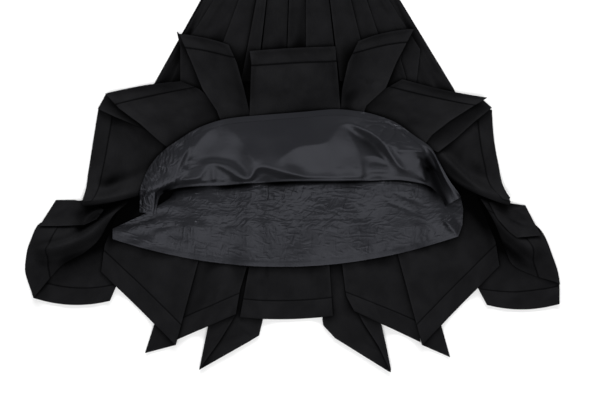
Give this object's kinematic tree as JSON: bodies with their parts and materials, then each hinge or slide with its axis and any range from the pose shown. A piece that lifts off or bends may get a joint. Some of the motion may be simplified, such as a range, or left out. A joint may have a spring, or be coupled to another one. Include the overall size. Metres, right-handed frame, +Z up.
{
  "type": "pleated skirt",
  "caption": "Pleated midi skirt laid flat on its back with its front hem turned up, showing pointed hem panels and a smooth lining.",
  "frame": {"origin": "middle of the outline seen from above, on the surface that the skirt lies on", "axes": "+X across the skirt from side to side, +Y from the hem to the waist, +Z up from the surface"},
  "size_m": [1.176, 0.936, 0.0534],
  "materials": {
    "shell": "matt black wool twill suiting",
    "lining": "charcoal satin lining with a soft sheen"
  },
  "bodies": {
    "root": {"back_centre": "shell", "back_left_godet": "shell", "back_left_godet_fold": "shell", "back_left_inner": "shell", "back_left_outer": "shell", "back_left_pleat": "shell", "back_left_side": "shell", "back_right_godet": "shell", "back_right_godet_fold": "shell", "back_right_inner": "shell", "back_right_outer": "shell", "back_right_pleat": "shell", "back_right_side": "shell", "front_centre": "shell", "front_left_inner": "shell", "front_left_outer": "shell", "front_left_side": "shell", "front_right_inner": "shell", "front_right_outer": "shell", "front_right_side": "shell", "lining_back": "lining", "lining_front": "lining", "pleat_left_2": "shell", "pleat_left_3": "shell", "pleat_right_2": "shell", "pleat_right_3": "shell", "pleat_right_4": "shell", "side_left_flap": "shell", "side_left_hem": "shell", "side_right_flap": "shell", "side_right_hem": "shell", "underlay_left": "shell", "underlay_left_corner": "shell", "underlay_right": "shell", "underlay_right_corner": "shell", "waistband_back": "shell", "waistband_front": "shell"}
  },
  "joints": []
}
